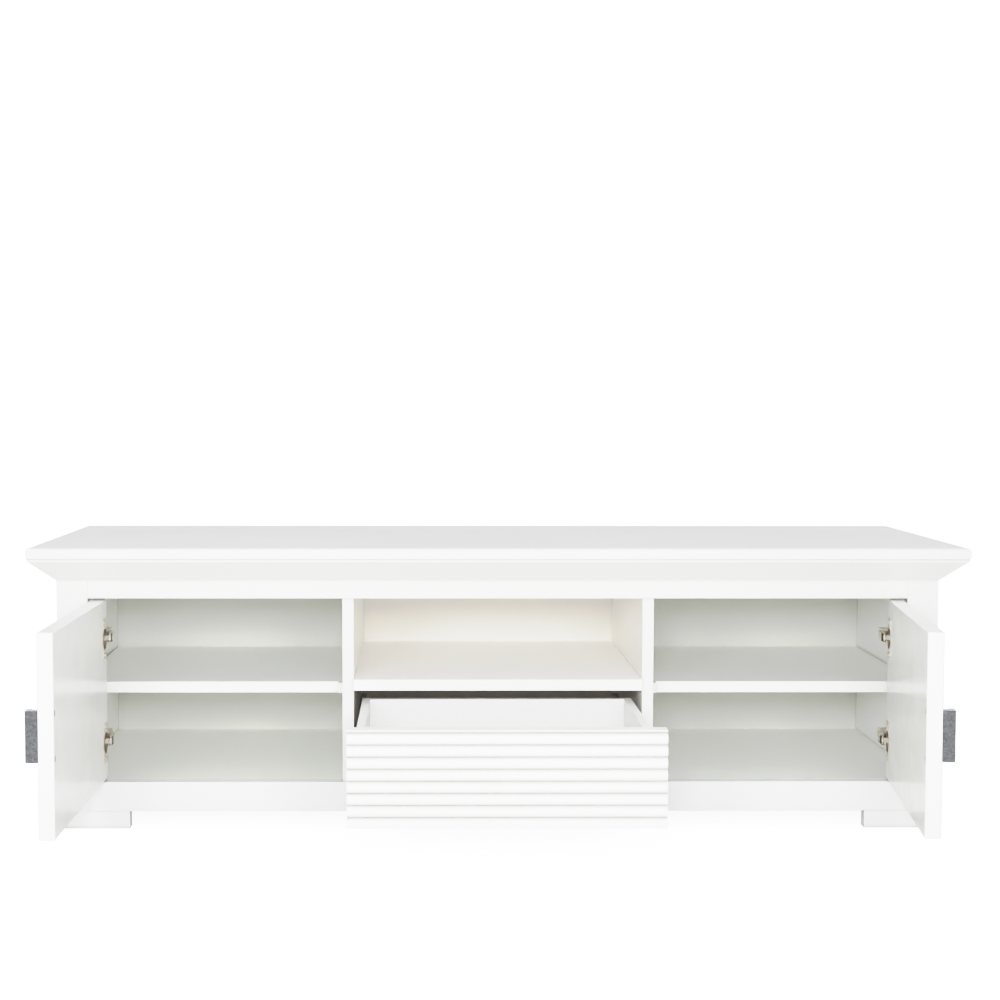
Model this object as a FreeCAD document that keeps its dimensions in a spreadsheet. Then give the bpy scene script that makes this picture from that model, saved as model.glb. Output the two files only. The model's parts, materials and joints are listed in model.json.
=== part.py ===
import FreeCAD, Part

import math
import os
from types import SimpleNamespace

import Sketcher

# A low white television cabinet: two side bays with hinged inset doors and one shelf
# each, and a centre bay with an open niche over a ribbed drawer.
#
# Frame: X runs along the front to the right, Y runs from the front to the wall, Z is up.
# The origin is on the floor under the middle of the top panel. The doors and the drawer
# stand open here; joint travel brings them back into the face frame.

SIZES = {
    # top panel and crown moulding
    "top_length": 1500,
    "top_depth": 500,
    "top_thickness": 18,
    "top_round": 5,
    "underside_round": 3,
    "overhang": 40,
    "crown_reach": 36,
    "crown_height": 32,
    "bead_height": 5,
    # carcass
    "board": 18,
    "frame_thickness": 22,
    "stile_width": 50,
    "foot_height": 28,
    "foot_length": 115,
    "foot_return": 90,
    "foot_thickness": 20,
    "bottom_rail_height": 48,
    "opening_height": 298,
    "frieze_height": 66,
    "bay_half": 233,
    "divider_inset": 3.5,
    "back_thickness": 5,
    "back_recess": 6,
    # shelves
    "side_shelf_level": 232,
    "side_shelf_inset": 46,
    "centre_shelf_level": 242.5,
    "shelf_play": 1,
    "pin_radius": 2.5,
    "pin_reach": 9,
    # doors
    "door_thickness": 23,
    "door_gap": 3,
    "door_round": 2,
    "pivot_inside": 12.5,
    "pivot_behind": 8.6,
    "left_open": 90,
    "right_open": 82.6,
    # concealed hinges
    "hinge_spread": 84,
    "cup_from_edge": 20.5,
    "cup_radius": 17.5,
    "cup_depth": 11.5,
    "cup_wall": 0.9,
    "flange_width": 24,
    "flange_height": 64,
    "flange_thickness": 1.2,
    "knuckle_inside": 32,
    "knuckle_behind": 16,
    "knuckle_radius": 2.6,
    "link_pin_radius": 1.5,
    "arm_width": 16,
    "arm_cheek": 1.5,
    # block pulls
    "pull_height": 73,
    "pull_width": 18,
    "pull_reach": 17,
    "pull_undercut": 5,
    "pull_lip": 7,
    "pull_screw_spacing": 64,
    "pull_screw_from_edge": 8,
    # drawer
    "drawer_out": 323,
    "drawer_gap_below": 4,
    "drawer_gap_above": 2,
    "drawer_panel": 16.5,
    "rib_depth": 6,
    "rib_pitch": 17.5,
    "first_groove": 5,
    "drawer_side": 12,
    "drawer_side_bottom": 92,
    "drawer_side_height": 112,
    "drawer_length": 350,
    "drawer_floor": 4,
    "drawer_floor_level": 100,
    "drawer_groove": 5,
    # ball-bearing runners
    "runner_height": 45,
    "runner_depth": 12.7,
    "runner_length": 345,
    "runner_level": 135,
    "runner_steel": 1.2,
    "runner_start": 2,
    # fasteners
    "screw_radius": 2,
    "screw_head": 4,
    "screw_head_height": 1.8,
    "screw_play": 0.1,
}


class Size:
    """A number together with the sheet formula that it comes from."""

    def __init__(self, number, text=None):
        self.number = float(number)
        self.text = repr(self.number) if text is None else text

    def __add__(self, other):
        other = as_size(other)
        return Size(self.number + other.number, f"({self.text} + {other.text})")

    def __sub__(self, other):
        other = as_size(other)
        return Size(self.number - other.number, f"({self.text} - {other.text})")

    def __rsub__(self, other):
        return as_size(other) - self

    def __mul__(self, other):
        other = as_size(other)
        return Size(self.number * other.number, f"({self.text} * {other.text})")

    def __truediv__(self, other):
        other = as_size(other)
        return Size(self.number / other.number, f"({self.text} / {other.text})")

    def __neg__(self):
        return self * -1

    __radd__ = __add__
    __rmul__ = __mul__


def as_size(value):
    return value if isinstance(value, Size) else Size(value)


doc = FreeCAD.newDocument("TvStand")
sheet = doc.addObject("Spreadsheet::Sheet", "Sizes")
for row, (alias, number) in enumerate(SIZES.items(), start=1):
    sheet.set(f"A{row}", alias)
    sheet.set(f"B{row}", str(number))
    sheet.setAlias(f"B{row}", alias)
doc.recompute()
size = SimpleNamespace(**{alias: Size(number, f"Sizes.{alias}") for alias, number in SIZES.items()})

nodes = []

# ---------------------------------------------------------------- derived places
half_top = size.top_length / 2
side_face = half_top - size.overhang
front = size.overhang - size.top_depth / 2
rear = size.top_depth / 2
jamb = side_face - size.stile_width
lining = side_face - size.board
behind_frame = front + size.frame_thickness
back_face = rear - size.back_recess - size.back_thickness
rail_top = size.foot_height + size.bottom_rail_height
head = rail_top + size.opening_height
under_top = head + size.frieze_height
ceiling = under_top - size.board
divider_outer = size.bay_half + size.board
door_level = (rail_top + head) / 2
centre_shelf_under = size.centre_shelf_level - size.board
drawer_face = front - size.drawer_out
drawer_half = size.bay_half - size.runner_depth


# ---------------------------------------------------------------- drawing helpers
def bind(thing, prop, value):
    """Tie a property to its formula."""
    thing.setExpression(prop, as_size(value).text)


def place(thing, x=0, y=0, z=0):
    for axis, value in zip("xyz", (x, y, z)):
        bind(thing, f".Placement.Base.{axis}", value)


def finish(thing, name):
    """Keep an object as a named piece of the cabinet."""
    thing.Label = name
    nodes.append(thing)
    return thing


def box(name, x, y, z):
    """A block between two values on each axis."""
    block = doc.addObject("Part::Box", name)
    for prop, (low, high) in zip(("Length", "Width", "Height"), (x, y, z)):
        bind(block, prop, as_size(high) - low)
    place(block, x[0], y[0], z[0])
    return block


def rod(name, radius, start, length, axis):
    """A cylinder from a point along +X, -X, +Y, -Y, +Z or -Z."""
    cylinder = doc.addObject("Part::Cylinder", name)
    bind(cylinder, "Radius", radius)
    bind(cylinder, "Height", length)
    towards = FreeCAD.Vector(*[float(part) for part in axis])
    cylinder.Placement.Rotation = FreeCAD.Rotation(FreeCAD.Vector(0, 0, 1), towards)
    place(cylinder, *start)
    return cylinder


def group(name, pieces):
    """Several separate solids under one name."""
    bundle = doc.addObject("Part::Compound", name)
    bundle.Links = pieces
    return bundle


def cut(name, base, tools):
    """A piece with every tool removed."""
    carved = doc.addObject("Part::Cut", name)
    carved.Base = base
    carved.Tool = tools[0] if len(tools) == 1 else group(name + "_tools", tools)
    return carved


def fuse(name, pieces):
    joined = doc.addObject("Part::MultiFuse", name)
    joined.Shapes = pieces
    return joined


def screw(name, tip_axis, seat, length, head_radius=None):
    """A pan-head screw: the seat is the point under its head."""
    radius = size.screw_head if head_radius is None else head_radius
    out = [-part for part in tip_axis]
    shank = rod(name + "_shank", size.screw_radius, seat, length, tip_axis)
    cap = rod(name + "_head", radius, seat, size.screw_head_height, out)
    return fuse(name, [shank, cap])


def screw_hole(name, tip_axis, seat, length):
    """The bore that a screw of this seat and length sits in, a little deeper than it."""
    bore = size.screw_radius + size.screw_play
    return rod(name, bore, seat, as_size(length) + size.screw_play, tip_axis)


def new_body(name):
    return doc.addObject("PartDesign::Body", name)


def origin_plane(body, role):
    return next(item for item in body.Origin.OriginFeatures if item.Role == role)


def sketch_on(body, role, name, offset=None):
    sketch = body.newObject("Sketcher::SketchObject", name)
    sketch.AttachmentSupport = [(origin_plane(body, role), "")]
    sketch.MapMode = "FlatFace"
    if offset is not None:
        bind(sketch, ".AttachmentOffset.Base.z", offset)
    return sketch


def pin_point(sketch, edge, vertex, x, y):
    """Fix a vertex at a signed distance from the sketch's origin on both axes."""
    for kind, value in (("DistanceX", as_size(x)), ("DistanceY", as_size(y))):
        index = sketch.addConstraint(Sketcher.Constraint(kind, -1, 1, edge, vertex, value.number))
        sketch.setExpression(f"Constraints[{index}]", value.text)


def polygon(sketch, corners):
    """A closed outline through corners given in the sketch's own axes."""
    spots = [FreeCAD.Vector(as_size(x).number, as_size(y).number, 0) for x, y in corners]
    count = len(spots)
    for index in range(count):
        sketch.addGeometry(Part.LineSegment(spots[index], spots[(index + 1) % count]), False)
    for index in range(count):
        following = (index + 1) % count
        sketch.addConstraint(Sketcher.Constraint("Coincident", index, 2, following, 1))
        pin_point(sketch, index, 1, *corners[index])
    return sketch


def pad(body, sketch, length, midplane=False, reverse=False, name="Pad"):
    feature = body.newObject("PartDesign::Pad", name)
    feature.Profile = sketch
    bind(feature, "Length", length)
    if midplane:
        feature.SideType = "Symmetric"
    feature.Reversed = reverse
    return feature


def pocket(body, sketch, length, midplane=False, reverse=False, name="Pocket"):
    feature = body.newObject("PartDesign::Pocket", name)
    feature.Profile = sketch
    bind(feature, "Length", length)
    if midplane:
        feature.SideType = "Symmetric"
    feature.Reversed = reverse
    return feature


def extruded(name, role, corners, length, midplane=False, reverse=False):
    """A body whose section is one polygon."""
    body = new_body(name)
    section = polygon(sketch_on(body, role, name + "_section"), corners)
    pad(body, section, length, midplane, reverse, name + "_pad")
    return body


def fillet_edges(body, name, radius, wanted):
    """Round the edges of a body's last feature that a test picks out."""
    doc.recompute()
    tip = body.Tip
    picked = [f"Edge{i}" for i, edge in enumerate(tip.Shape.Edges, start=1) if wanted(edge)]
    rounding = body.newObject("PartDesign::Fillet", name)
    rounding.Base = (tip, picked)
    bind(rounding, "Radius", radius)
    return rounding


# ---------------------------------------------------------------- carcass
def top_panel():
    """The slab: square at the wall, rounded along its front and both ends."""
    body = new_body("top_slab")
    outline = polygon(
        sketch_on(body, "XY_Plane", "top_outline", under_top),
        [(-half_top, -rear), (half_top, -rear), (half_top, rear), (-half_top, rear)],
    )
    pad(body, outline, size.top_thickness, name="top_pad")

    def rim(level):
        def wanted(edge):
            spot = edge.CenterOfMass
            return abs(spot.z - level.number) < 0.1 and spot.y < rear.number - 0.1

        return wanted

    fillet_edges(body, "top_edge", size.top_round, rim(under_top + size.top_thickness))
    fillet_edges(body, "top_lower_edge", size.underside_round, rim(under_top))
    grip = size.board + size.top_thickness * 2 / 3
    holes = [
        screw_hole(f"top_hole_{number}", (0, 0, 1), (x, y, ceiling), grip)
        for number, (x, y) in enumerate(top_screw_places())
    ]
    finish(cut("top_panel", body, holes), "top_panel")


def top_screw_places():
    """Six screws hold the slab from below."""
    return [
        (along, depth)
        for along in (-lining + 120, Size(0), lining - 120)
        for depth in (behind_frame + 60, back_face - 60)
    ]


def top_screws():
    grip = size.board + size.top_thickness * 2 / 3
    pieces = [
        screw(f"top_screw_{number}", (0, 0, 1), (x, y, ceiling), grip)
        for number, (x, y) in enumerate(top_screw_places())
    ]
    finish(group("top_screws", pieces), "top_screws")


def crown_profile(start, sign):
    """The moulding's section: a straight bevel under a small flat bead."""
    bevel_foot = under_top - size.bead_height - size.crown_height
    bevel_head = under_top - size.bead_height
    bead_reach = (size.crown_reach + size.overhang) / 2
    return [
        (start, bevel_foot),
        (start + size.crown_reach * sign, bevel_head),
        (start + bead_reach * sign, bevel_head + 1),
        (start + bead_reach * sign, under_top),
        (start, under_top),
    ]


def crown(name, where):
    """One length of crown moulding, mitred at the front corners."""
    body = new_body(name)
    reach = size.overhang + 10
    if where == "front":
        section = sketch_on(body, "YZ_Plane", name + "_section")
        polygon(section, crown_profile(front, -1))
        pad(body, section, (side_face + size.overhang) * 2, midplane=True, name=name + "_pad")
        sides = (-1, 1)
    else:
        sides = (-1 if where == "left" else 1,)
        section = sketch_on(body, "XZ_Plane", name + "_section")
        polygon(section, crown_profile(side_face * sides[0], sides[0]))
        pad(body, section, size.top_depth, midplane=True, name=name + "_pad")
    for sign in sides:
        corner = (side_face * sign, front)
        tip = ((side_face + reach) * sign, front - reach)
        waste = (tip[0], front) if where == "front" else (corner[0], tip[1])
        mitre = polygon(sketch_on(body, "XY_Plane", f"{name}_mitre_{sign + 1}"), [corner, waste, tip])
        pocket(body, mitre, under_top * 2, midplane=True, name=f"{name}_mitre_cut_{sign + 1}")
    finish(body, name)


def face_frame():
    finish(box("frieze_rail", (-jamb, jamb), (front, behind_frame), (head, under_top)), "frieze_rail")
    finish(
        box("bottom_rail", (-jamb, jamb), (front, behind_frame), (size.foot_height, rail_top)),
        "bottom_rail",
    )
    for name, span in (("stile_left", (-side_face, -jamb)), ("stile_right", (jamb, side_face))):
        finish(box(name, span, (front, behind_frame), (size.foot_height, under_top)), name)
    rear_depth = (back_face - size.board, back_face)
    rear_levels = (size.foot_height, rail_top - size.board)
    finish(box("rear_rail", (-lining, lining), rear_depth, rear_levels), "rear_rail")


def shelf_pin_places(sign):
    """The four pins under one side shelf: the point where each enters its board."""
    under = size.side_shelf_level - size.board - size.pin_radius
    first = front + size.side_shelf_inset + 40
    last = back_face - 50
    spots = []
    for depth in (first, last):
        spots.append(((divider_outer * sign, depth, under), (sign, 0, 0)))
        spots.append(((lining * sign, depth, under), (-sign, 0, 0)))
    return spots


def shelf_pins():
    pieces = []
    for sign in (-1, 1):
        for number, (spot, out) in enumerate(shelf_pin_places(sign)):
            start = (spot[0] - size.pin_reach * out[0], spot[1], spot[2])
            name = f"shelf_pin_{sign + 1}_{number}"
            pieces.append(rod(name, size.pin_radius, start, size.pin_reach * 2, out))
    finish(group("shelf_pins", pieces), "shelf_pins")


def pin_holes(sign, inwards):
    """Bores for the pins that enter the board facing the given way."""
    bores = []
    for number, (spot, out) in enumerate(shelf_pin_places(sign)):
        if out[0] == inwards:
            bore = size.pin_radius + size.screw_play
            back = (-out[0], 0, 0)
            name = f"pin_bore_{sign + 1}_{number}"
            bores.append(rod(name, bore, spot, size.pin_reach + size.screw_play, back))
    return bores


def side_panels():
    for name, sign in (("side_panel_left", -1), ("side_panel_right", 1)):
        span = (lining, side_face) if sign > 0 else (-side_face, -lining)
        blank = box(name + "_blank", span, (behind_frame, rear), (size.foot_height, under_top))
        finish(cut(name, blank, pin_holes(sign, -sign)), name)


def back_screw_places():
    """Screws through the back panel into the dividers, the bottom and the sub top."""
    half = size.board / 2
    places = [
        ((size.bay_half + half) * sign, level)
        for sign in (-1, 1)
        for level in (rail_top + 60, door_level, ceiling - 50)
    ]
    for level in (rail_top - half, ceiling + half):
        places += [(lining * share, level) for share in (-0.85, -0.15, 0.15, 0.85)]
    return places


BACK_SCREW_GRIP = 22


def back_holes(prefix):
    seat_depth = back_face + size.back_thickness
    return [
        screw_hole(f"{prefix}_back_hole_{number}", (0, -1, 0), (x, seat_depth, z), BACK_SCREW_GRIP)
        for number, (x, z) in enumerate(back_screw_places())
    ]


def back_panel():
    blank = box(
        "back_blank",
        (-lining, lining),
        (back_face, back_face + size.back_thickness),
        (rail_top - size.board, under_top),
    )
    finish(cut("back_panel", blank, back_holes("panel")), "back_panel")
    seat_depth = back_face + size.back_thickness
    pieces = [
        screw(f"back_screw_{number}", (0, -1, 0), (x, seat_depth, z), BACK_SCREW_GRIP)
        for number, (x, z) in enumerate(back_screw_places())
    ]
    finish(group("back_screws", pieces), "back_screws")


def horizontal_panels():
    floor_blank = box(
        "bottom_blank", (-lining, lining), (behind_frame, back_face), (rail_top - size.board, rail_top)
    )
    finish(cut("bottom_panel", floor_blank, back_holes("bottom")), "bottom_panel")
    blank = box("sub_top_blank", (-lining, lining), (behind_frame, back_face), (ceiling, under_top))
    top_holes = [
        screw_hole(f"sub_top_hole_{number}", (0, 0, 1), (x, y, ceiling), size.board)
        for number, (x, y) in enumerate(top_screw_places())
    ]
    finish(cut("sub_top", blank, back_holes("sub_top") + top_holes), "sub_top")


def dividers():
    """Uprights between the bays, notched at the top behind the frieze rail."""
    outline = [
        (front + size.divider_inset, rail_top),
        (back_face, rail_top),
        (back_face, ceiling),
        (behind_frame, ceiling),
        (behind_frame, head),
        (front + size.divider_inset, head),
    ]
    for name, sign in (("divider_left", -1), ("divider_right", 1)):
        outline_here = outline[:1] + [(behind_frame, rail_top)] + outline[1:]
        blank = extruded(name + "_blank", "YZ_Plane", outline_here, size.board)
        place(blank, size.bay_half if sign > 0 else -divider_outer)
        runner_bores = [
            screw_hole(f"{name}_runner_hole_{n}", (sign, 0, 0), seat, size.board / 2)
            for n, seat in enumerate(cabinet_runner_screw_seats(sign))
        ]
        tools = back_holes(name) + pin_holes(sign, sign) + runner_bores
        finish(cut(name, blank, tools), name)


def shelves():
    finish(
        box(
            "centre_shelf",
            (-size.bay_half, size.bay_half),
            (front, back_face),
            (centre_shelf_under, size.centre_shelf_level),
        ),
        "centre_shelf",
    )
    inner = divider_outer + size.shelf_play
    outer = lining - size.shelf_play
    for name, span in (("side_shelf_left", (-outer, -inner)), ("side_shelf_right", (inner, outer))):
        depth = (front + size.side_shelf_inset, back_face - size.shelf_play)
        level = (size.side_shelf_level - size.board, size.side_shelf_level)
        finish(box(name, span, depth, level), name)


def feet():
    """Bracket feet: an L of two boards under each corner."""
    for end, depth_sign in (("front", -1), ("rear", 1)):
        outside = front if depth_sign < 0 else rear
        for hand, sign in (("left", -1), ("right", 1)):
            name = f"foot_{end}_{hand}"
            x0 = side_face * sign
            x1 = (side_face - size.foot_thickness) * sign
            x2 = (side_face - size.foot_length) * sign
            y1 = outside - size.foot_thickness * depth_sign
            y2 = outside - size.foot_return * depth_sign
            corners = [(x0, outside), (x2, outside), (x2, y1), (x1, y1), (x1, y2), (x0, y2)]
            finish(extruded(name, "XY_Plane", corners, size.foot_height), name)


def door_stops():
    """Small blocks on the dividers that the closed doors rest against."""
    depth = (front + size.door_thickness + 0.5, front + size.door_thickness + 20)
    level = (size.side_shelf_level - 15, size.side_shelf_level + 1)
    reach = 8
    for name, span in (
        ("door_stop_left", (-divider_outer - reach, -divider_outer)),
        ("door_stop_right", (divider_outer, divider_outer + reach)),
    ):
        blank = box(name + "_blank", span, depth, level)
        rounded = doc.addObject("Part::Fillet", name)
        rounded.Base = blank
        doc.recompute()
        upright = [
            (number, 1.5, 1.5)
            for number, edge in enumerate(blank.Shape.Edges, start=1)
            if abs(edge.BoundBox.ZLength - blank.Height.Value) < 0.01
        ]
        rounded.Edges = upright
        finish(rounded, name)


# ---------------------------------------------------------------- doors and hinges
# Everything on a door is drawn in the door's own frame: its origin is on the turning axis
# at the door's mid height, x runs from the jamb into the bay and y into the cabinet.
# Both doors have one drawing, because it is the same upside down.
DOORS = {
    "left": {"sign": -1, "opening": size.left_open},
    "right": {"sign": 1, "opening": size.right_open},
}
leaf_near = size.door_gap - size.pivot_inside
leaf_far = jamb - divider_outer - size.door_gap - size.pivot_inside
leaf_outside = -size.pivot_behind
leaf_inside = size.door_thickness - size.pivot_behind
leaf_half = size.opening_height / 2 - size.door_gap
cup_x = size.door_gap + size.cup_from_edge - size.pivot_inside
jamb_x = -size.pivot_inside
knuckle_x = size.knuckle_inside - size.pivot_inside
knuckle_y = size.knuckle_behind - size.pivot_behind
LINK_CLOSED = 172
LINK_RATIO = -0.66


def seat_at_hinge(thing, hand, turned=0.0, offset=(0, 0)):
    """Place a piece drawn in the door frame; turned is its opening angle in degrees."""
    sign = DOORS[hand]["sign"]
    place(
        thing,
        (jamb - size.pivot_inside) * sign + offset[0],
        front + size.pivot_behind + offset[1],
        door_level,
    )
    z_axis = FreeCAD.Vector(0, 0, 1)
    flip = FreeCAD.Rotation(FreeCAD.Vector(0, 1, 0), 180 if sign > 0 else 0)
    spin = FreeCAD.Rotation(z_axis, turned * sign)
    thing.Placement.Rotation = spin * flip


def hinge_levels():
    return (-size.hinge_spread, size.hinge_spread)


def door(hand):
    name = f"door_{hand}"
    blank = box(
        name + "_board", (leaf_near, leaf_far), (leaf_outside, leaf_inside), (-leaf_half, leaf_half)
    )
    eased = doc.addObject("Part::Fillet", name + "_eased")
    eased.Base = blank
    eased.Edges = [(number, SIZES["door_round"], SIZES["door_round"]) for number in range(1, 13)]
    bores = []
    for number, level in enumerate(hinge_levels()):
        mouth = (cup_x, leaf_inside, level)
        bores.append(rod(f"{name}_cup_bore_{number}", size.cup_radius, mouth, size.cup_depth, (0, -1, 0)))
    for number, seat in enumerate(cup_screw_seats()):
        bores.append(screw_hole(f"{name}_cup_hole_{number}", (0, -1, 0), seat, CUP_SCREW_LENGTH))
    for number, seat in enumerate(pull_screw_seats()):
        through = leaf_inside - leaf_outside
        bores.append(screw_hole(f"{name}_pull_hole_{number}", (0, -1, 0), seat, through))
        recess = size.screw_head + 0.3
        top = (seat[0], leaf_inside, seat[2])
        bores.append(rod(f"{name}_pull_recess_{number}", recess, top, size.screw_head_height, (0, -1, 0)))
    leaf = finish(cut(name, eased, bores), name)
    seat_at_hinge(leaf, hand, DOORS[hand]["opening"].number)


CUP_SCREW_LENGTH = 13
PLATE_SCREW_LENGTH = 16


def cup_screw_seats():
    """Two screws hold each cup, through the wings of its flange."""
    top = leaf_inside + size.flange_thickness
    reach = size.flange_height / 2 - 6
    return [(cup_x, top, level + reach * end) for level in hinge_levels() for end in (-1, 1)]


def pull_screw_seats():
    """Two recessed screws hold each pull from inside the door."""
    x = leaf_far - size.pull_screw_from_edge
    half = size.pull_screw_spacing / 2
    return [(x, leaf_inside - size.screw_head_height, half * end) for end in (-1, 1)]


def hinge_cups(hand):
    """Pressed cups with winged flanges, sunk in the back of the door."""
    name = f"hinge_cups_{hand}"
    cups = []
    for number, level in enumerate(hinge_levels()):
        prefix = f"{name}_{number}"
        half_wide = size.flange_width / 2
        half_tall = size.flange_height / 2
        floor_y = leaf_inside - size.cup_depth + 0.1
        wings = box(
            prefix + "_wings",
            (cup_x - half_wide, cup_x + half_wide),
            (leaf_inside, leaf_inside + size.flange_thickness),
            (level - half_tall, level + half_tall),
        )
        ring = rod(
            prefix + "_ring",
            size.cup_radius + 0.8,
            (cup_x, leaf_inside, level),
            size.flange_thickness,
            (0, 1, 0),
        )
        well = rod(
            prefix + "_well",
            size.cup_radius - size.screw_play,
            (cup_x, floor_y, level),
            leaf_inside - floor_y + 0.5,
            (0, 1, 0),
        )
        hollow = rod(
            prefix + "_hollow",
            size.cup_radius - size.screw_play - size.cup_wall,
            (cup_x, floor_y + size.cup_wall, level),
            size.cup_depth + 5,
            (0, 1, 0),
        )
        bores = [hollow]
        for end, seat in enumerate(cup_screw_seats()[number * 2 : number * 2 + 2]):
            bores.append(screw_hole(f"{prefix}_hole_{end}", (0, -1, 0), seat, 3))
        cups.append(cut(prefix, fuse(prefix + "_solid", [wings, ring, well]), bores))
    seat_at_hinge(finish(group(name, cups), name), hand, DOORS[hand]["opening"].number)


def cup_screws(hand):
    name = f"cup_screws_{hand}"
    pieces = [
        screw(f"{name}_{number}", (0, -1, 0), seat, CUP_SCREW_LENGTH - 0.2, size.screw_head - 0.5)
        for number, seat in enumerate(cup_screw_seats())
    ]
    seat_at_hinge(finish(group(name, pieces), name), hand, DOORS[hand]["opening"].number)


def hinge_links(hand):
    """The swinging link of each hinge, on the knuckle pin of its arm."""
    name = f"hinge_links_{hand}"
    opening = DOORS[hand]["opening"].number
    bearing = math.radians(LINK_CLOSED + LINK_RATIO * -opening)
    reach = 12
    half = 0.8
    width = size.arm_width / 2
    links = []
    for number, level in enumerate(hinge_levels()):
        prefix = f"{name}_{number}"
        body = new_body(prefix)
        outline = sketch_on(body, "XY_Plane", prefix + "_outline", -width / 2)
        eye = outline.addGeometry(Part.Circle(FreeCAD.Vector(0, 0, 0), FreeCAD.Vector(0, 0, 1), 2.5), False)
        outline.addConstraint(Sketcher.Constraint("Coincident", eye, 3, -1, 1))
        radius = outline.addConstraint(Sketcher.Constraint("Radius", eye, 2.5))
        outline.setExpression(f"Constraints[{radius}]", (size.knuckle_radius - 0.1).text)
        pad(body, outline, width, name=prefix + "_eye")
        blade = polygon(
            sketch_on(body, "XY_Plane", prefix + "_blade", -width / 2),
            [(1, -half), (reach, -half), (reach, half), (1, half)],
        )
        pad(body, blade, width, name=prefix + "_blade_pad")
        bore = sketch_on(body, "XY_Plane", prefix + "_bore", width)
        pin = bore.addGeometry(Part.Circle(FreeCAD.Vector(0, 0, 0), FreeCAD.Vector(0, 0, 1), 1.55), False)
        bore.addConstraint(Sketcher.Constraint("Coincident", pin, 3, -1, 1))
        inner = bore.addConstraint(Sketcher.Constraint("Radius", pin, 1.55))
        bore.setExpression(f"Constraints[{inner}]", (size.link_pin_radius + 0.05).text)
        pocket(body, bore, width * 3, midplane=True, name=prefix + "_pin_hole")
        place(body, knuckle_x, knuckle_y, level)
        body.Placement.Rotation = FreeCAD.Rotation(FreeCAD.Vector(0, 0, 1), math.degrees(bearing))
        links.append(body)
    seat_at_hinge(finish(group(name, links), name), hand)


def hinge_arms(hand):
    """Channel arms, each with two cheeks, a web and the knuckle pin."""
    name = f"hinge_arms_{hand}"
    cheek_gap = size.arm_width - size.arm_cheek * 2
    tip_y = knuckle_y - size.knuckle_radius
    web = size.arm_cheek
    arms = []
    for number, level in enumerate(hinge_levels()):
        prefix = f"{name}_{number}"
        outer = [
            (jamb_x + 7, Size(73.4)),
            (jamb_x + 24, Size(73.4)),
            (jamb_x + 24, Size(41.4)),
            (knuckle_x + 3, Size(25.4)),
            (knuckle_x + 3, tip_y),
            (knuckle_x - 2.6, tip_y),
            (knuckle_x - 2.6, Size(21.4)),
            (jamb_x + 7, Size(29.4)),
        ]
        inner = [
            (jamb_x + 6, Size(75)),
            (jamb_x + 24 - web, Size(75)),
            (jamb_x + 24 - web, Size(41.4)),
            (knuckle_x + 3 - web, Size(25.4)),
            (knuckle_x + 3 - web, Size(18)),
            (knuckle_x + 4, Size(18)),
            (knuckle_x + 4, tip_y - 1),
            (knuckle_x - 4, tip_y - 1),
            (knuckle_x - 4, Size(20.8)),
            (jamb_x + 6, Size(28.6)),
        ]
        body = new_body(prefix + "_channel")
        outline = polygon(sketch_on(body, "XY_Plane", prefix + "_side"), outer)
        pad(body, outline, size.arm_width, midplane=True, name=prefix + "_pad")
        channel = polygon(sketch_on(body, "XY_Plane", prefix + "_inside"), inner)
        pocket(body, channel, cheek_gap, midplane=True, name=prefix + "_channel_cut")
        place(body, 0, 0, level)
        pin = rod(
            prefix + "_pin",
            size.link_pin_radius,
            (knuckle_x, knuckle_y, level - size.arm_width / 2),
            size.arm_width,
            (0, 0, 1),
        )
        arm = fuse(prefix + "_arm", [body, pin])
        bores = [
            screw_hole(f"{prefix}_bore_{n}", (-1, 0, 0), seat, 4)
            for n, seat in enumerate(arm_screw_seats(level))
        ]
        arms.append(cut(prefix, arm, bores))
    seat_at_hinge(finish(group(name, arms), name), hand)


def arm_screw_seats(level):
    """The two adjusting screws on the web of one arm."""
    return [(jamb_x + 24, Size(depth), level) for depth in (49, 66)]


def both_hands(name, make_pieces):
    """One node that holds the same pieces at the left and the right door."""
    halves = []
    for hand in DOORS:
        half = group(f"{name}_{hand}", make_pieces(f"{name}_{hand}"))
        seat_at_hinge(half, hand)
        halves.append(half)
    finish(group(name, halves), name)


def arm_screws(prefix):
    seats = [seat for level in hinge_levels() for seat in arm_screw_seats(level)]
    return [screw(f"{prefix}_{number}", (-1, 0, 0), seat, 3) for number, seat in enumerate(seats)]


def plate_screw_seats():
    return [
        (jamb_x + 2, Size(51.4), level + 20 * end) for level in hinge_levels() for end in (-1, 1)
    ]


def hinge_plates(hand):
    """Winged mounting plates with the ridge that each arm sits over."""
    name = f"hinge_plates_{hand}"
    ridge_half = size.arm_width / 2 - size.arm_cheek - 0.3
    plates = []
    for number, level in enumerate(hinge_levels()):
        prefix = f"{name}_{number}"
        wing = box(prefix + "_wing", (jamb_x, jamb_x + 2), (39.4, 63.4), (level - 26, level + 26))
        ridge = box(
            prefix + "_ridge", (jamb_x, jamb_x + 20), (31.4, 71.4), (level - ridge_half, level + ridge_half)
        )
        bores = [
            screw_hole(f"{prefix}_hole_{end}", (-1, 0, 0), seat, 3)
            for end, seat in enumerate(plate_screw_seats()[number * 2 : number * 2 + 2])
        ]
        plates.append(cut(prefix, fuse(prefix + "_solid", [wing, ridge]), bores))
    seat_at_hinge(finish(group(name, plates), name), hand)


def plate_screws(prefix):
    return [
        screw(f"{prefix}_{number}", (-1, 0, 0), seat, PLATE_SCREW_LENGTH)
        for number, seat in enumerate(plate_screw_seats())
    ]


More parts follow.
